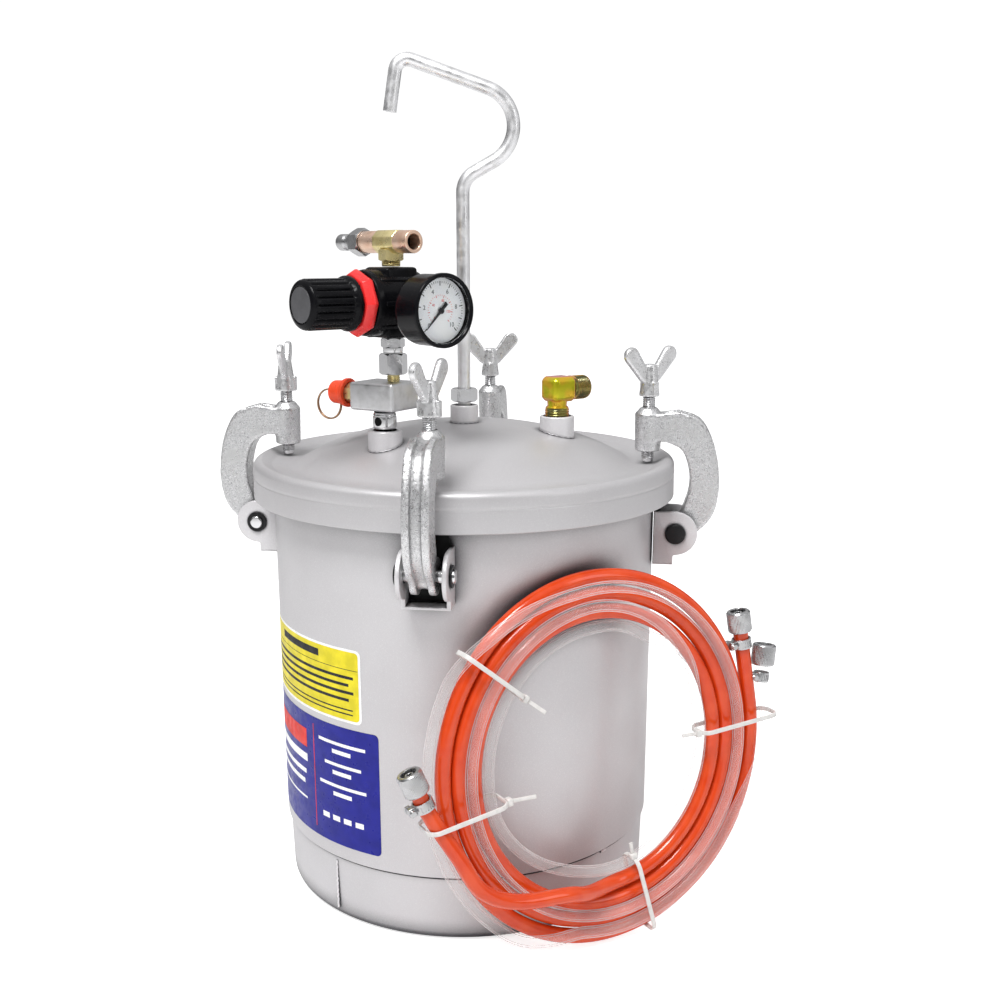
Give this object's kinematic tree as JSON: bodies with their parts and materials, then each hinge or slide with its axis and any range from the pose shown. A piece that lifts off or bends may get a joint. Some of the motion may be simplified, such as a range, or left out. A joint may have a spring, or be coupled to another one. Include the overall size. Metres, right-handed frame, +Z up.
{
  "type": "resin pressure pot",
  "caption": "Round steel pressure pot on a foot ring, its domed lid held by swing clamps with wing screws, with hook, regulator, gauge, relief valve, outlet elbow and tied hoses.",
  "frame": {"origin": "under the middle of the whole pot's bounding box, at floor level; the tank's axis stands a little to the left and behind it", "axes": "+Z up along the tank's axis; -Y through the front clamp, +X through the right-hand clamp"},
  "size_m": [0.3618, 0.339, 0.5119],
  "materials": {
    "silver_paint": "satin silver-grey paint",
    "zinc_casting": "zinc plated casting with a rough skin",
    "zinc_plate": "bright zinc plated steel",
    "black_steel": "black oxide",
    "gasket_rubber": "matt black rubber",
    "nickel_plate": "nickel plated, bright",
    "brass": "machined brass",
    "passivated_steel": "yellow-green iridescent passivation",
    "stainless": "plain stainless tube",
    "black_plastic": "satin black moulding",
    "black_paint": "satin black",
    "red_plastic": "gloss red",
    "orange_cap": "anodised orange-red",
    "dial_white": "printed white dial",
    "needle_black": "matt black",
    "clear_glass": "clear",
    "orange_hose": "translucent orange hose",
    "clear_hose": "milky clear hose",
    "white_nylon": "white nylon"
  },
  "bodies": {
    "pot": {"tank_shell": "silver_paint", "foot_ring": "silver_paint", "clamp_bracket_front": "silver_paint", "clamp_pin_front": "black_steel", "clamp_clip_front": "black_steel", "clamp_bracket_right": "silver_paint", "clamp_pin_right": "black_steel", "clamp_clip_right": "black_steel", "clamp_bracket_back": "silver_paint", "clamp_pin_back": "black_steel", "clamp_clip_back": "black_steel", "clamp_bracket_left": "silver_paint", "clamp_pin_left": "black_steel", "clamp_clip_left": "black_steel"},
    "lid": {"lid": "silver_paint", "lid_gasket": "gasket_rubber", "hook_rod": "zinc_plate", "hook_lock_nut": "nickel_plate", "outlet_elbow": "passivated_steel", "dip_tube": "stainless", "inlet_swivel": "nickel_plate", "manifold_block": "nickel_plate", "relief_valve_body": "brass", "manifold_nipple": "brass", "union_nut": "nickel_plate", "regulator_nipple": "nickel_plate", "regulator_body": "black_paint", "regulator_collar": "red_plastic", "gauge_case": "black_paint", "gauge_dial": "dial_white", "gauge_lens": "clear_glass", "inlet_tee": "brass", "air_plug": "nickel_plate"},
    "arm_front": {"clamp_arm_front": "zinc_casting"},
    "screw_front": {"clamp_spindle_front": "zinc_plate"},
    "wing_front": {"clamp_wing_front": "zinc_casting"},
    "arm_right": {"clamp_arm_right": "zinc_casting"},
    "screw_right": {"clamp_spindle_right": "zinc_plate"},
    "wing_right": {"clamp_wing_right": "zinc_casting"},
    "arm_back": {"clamp_arm_back": "zinc_casting"},
    "screw_back": {"clamp_spindle_back": "zinc_plate"},
    "wing_back": {"clamp_wing_back": "zinc_casting"},
    "arm_left": {"clamp_arm_left": "zinc_casting"},
    "screw_left": {"clamp_spindle_left": "zinc_plate"},
    "wing_left": {"clamp_wing_left": "zinc_casting"},
    "pressure_knob": {"regulator_knob": "black_plastic"},
    "needle": {"gauge_needle": "needle_black"},
    "relief_pull": {"relief_valve_cap": "orange_cap", "relief_pull_ring": "nickel_plate"},
    "hose_set": {"fluid_hose": "orange_hose", "air_hose": "clear_hose", "cable_tie_1": "white_nylon", "cable_tie_2": "white_nylon", "cable_tie_3": "white_nylon", "cable_tie_4": "white_nylon", "hose_clamp_fluid_top": "nickel_plate", "hose_clamp_air_top": "nickel_plate"},
    "nut_fluid_top": {"hose_nut_fluid_top": "nickel_plate"},
    "nut_air_top": {"hose_nut_air_top": "nickel_plate"},
    "nut_fluid_side": {"hose_nut_fluid_side": "nickel_plate"}
  },
  "joints": [
    {"name": "clamp_front_swing", "type": "hinge", "parent": "pot", "child": "arm_front", "pos_m": [-0.02107, -0.12436, 0.2303], "axis": [1, 0, 0], "range_deg": [0, 100]},
    {"name": "clamp_front_screw", "type": "slide", "parent": "arm_front", "child": "screw_front", "axis": [0, 0, 1], "range_m": [0, 0.0176]},
    {"name": "clamp_front_wing_turn", "type": "hinge", "parent": "screw_front", "child": "wing_front", "pos_m": [-0.02107, -0.10566, 0.319], "axis": [0, 0, 1], "range_deg": [0, 5041]},
    {"name": "clamp_right_swing", "type": "hinge", "parent": "pot", "child": "arm_right", "pos_m": [0.11293, 0.00964, 0.2303], "axis": [0, 1, 0], "range_deg": [0, 100]},
    {"name": "clamp_right_screw", "type": "slide", "parent": "arm_right", "child": "screw_right", "axis": [0, 0, 1], "range_m": [0, 0.0176]},
    {"name": "clamp_right_wing_turn", "type": "hinge", "parent": "screw_right", "child": "wing_right", "pos_m": [0.09423, 0.00964, 0.319], "axis": [0, 0, 1], "range_deg": [0, 5041]},
    {"name": "clamp_back_swing", "type": "hinge", "parent": "pot", "child": "arm_back", "pos_m": [-0.02107, 0.14364, 0.2303], "axis": [-1, 0, 0], "range_deg": [0, 100]},
    {"name": "clamp_back_screw", "type": "slide", "parent": "arm_back", "child": "screw_back", "axis": [0, 0, 1], "range_m": [0, 0.0176]},
    {"name": "clamp_back_wing_turn", "type": "hinge", "parent": "screw_back", "child": "wing_back", "pos_m": [-0.02107, 0.12494, 0.319], "axis": [0, 0, 1], "range_deg": [0, 5041]},
    {"name": "clamp_left_swing", "type": "hinge", "parent": "pot", "child": "arm_left", "pos_m": [-0.15507, 0.00964, 0.2303], "axis": [0, -1, 0], "range_deg": [0, 100]},
    {"name": "clamp_left_screw", "type": "slide", "parent": "arm_left", "child": "screw_left", "axis": [0, 0, 1], "range_m": [0, 0.0176]},
    {"name": "clamp_left_wing_turn", "type": "hinge", "parent": "screw_left", "child": "wing_left", "pos_m": [-0.13637, 0.00964, 0.319], "axis": [0, 0, 1], "range_deg": [0, 5041]},
    {"name": "lid_lift", "type": "slide", "parent": "pot", "child": "lid", "axis": [0, 0, 1], "range_m": [0, 0.0141]},
    {"name": "pressure_knob_turn", "type": "hinge", "parent": "lid", "child": "pressure_knob", "pos_m": [-0.05314, -0.04813, 0.37135], "axis": [-0.66, -0.7513, 0], "range_deg": [0, 1080]},
    {"name": "needle_turn", "type": "hinge", "parent": "lid", "child": "needle", "pos_m": [-0.05314, -0.04813, 0.36815], "axis": [-0.7513, 0.66, 0], "range_deg": [0, 270]},
    {"name": "relief_pull", "type": "slide", "parent": "lid", "child": "relief_pull", "axis": [-0.9184, 0.3955, 0], "range_m": [0, 0.003]},
    {"name": "hose_set_away", "type": "slide", "parent": "pot", "child": "hose_set", "axis": [0.549, -0.8358, 0], "range_m": [0, 0.06]},
    {"name": "nut_fluid_top_turn", "type": "hinge", "parent": "hose_set", "child": "nut_fluid_top", "pos_m": [0.15266, -0.03115, 0.18374], "axis": [-0.159, -0.0115, 0.9872], "continuous": true},
    {"name": "nut_air_top_turn", "type": "hinge", "parent": "hose_set", "child": "nut_air_top", "pos_m": [0.16892, -0.0238, 0.16096], "axis": [0.0831, 0.1474, 0.9856], "continuous": true},
    {"name": "nut_fluid_side_turn", "type": "hinge", "parent": "hose_set", "child": "nut_fluid_side", "pos_m": [-0.02171, -0.1619, 0.12619], "axis": [-0.3589, -0.0852, 0.9295], "continuous": true}
  ],
  "couplings": [
    {"joint": "clamp_front_screw", "follows": "clamp_front_swing", "m_per_rad": 0.010027},
    {"joint": "clamp_front_wing_turn", "follows": "clamp_front_swing", "ratio": 50.4},
    {"joint": "clamp_right_swing", "follows": "clamp_front_swing", "ratio": 1},
    {"joint": "clamp_right_screw", "follows": "clamp_front_swing", "m_per_rad": 0.010027},
    {"joint": "clamp_right_wing_turn", "follows": "clamp_front_swing", "ratio": 50.4},
    {"joint": "clamp_back_swing", "follows": "clamp_front_swing", "ratio": 1},
    {"joint": "clamp_back_screw", "follows": "clamp_front_swing", "m_per_rad": 0.010027},
    {"joint": "clamp_back_wing_turn", "follows": "clamp_front_swing", "ratio": 50.4},
    {"joint": "clamp_left_swing", "follows": "clamp_front_swing", "ratio": 1},
    {"joint": "clamp_left_screw", "follows": "clamp_front_swing", "m_per_rad": 0.010027},
    {"joint": "clamp_left_wing_turn", "follows": "clamp_front_swing", "ratio": 50.4},
    {"joint": "lid_lift", "follows": "clamp_front_swing", "m_per_rad": 0.0080214}
  ]
}
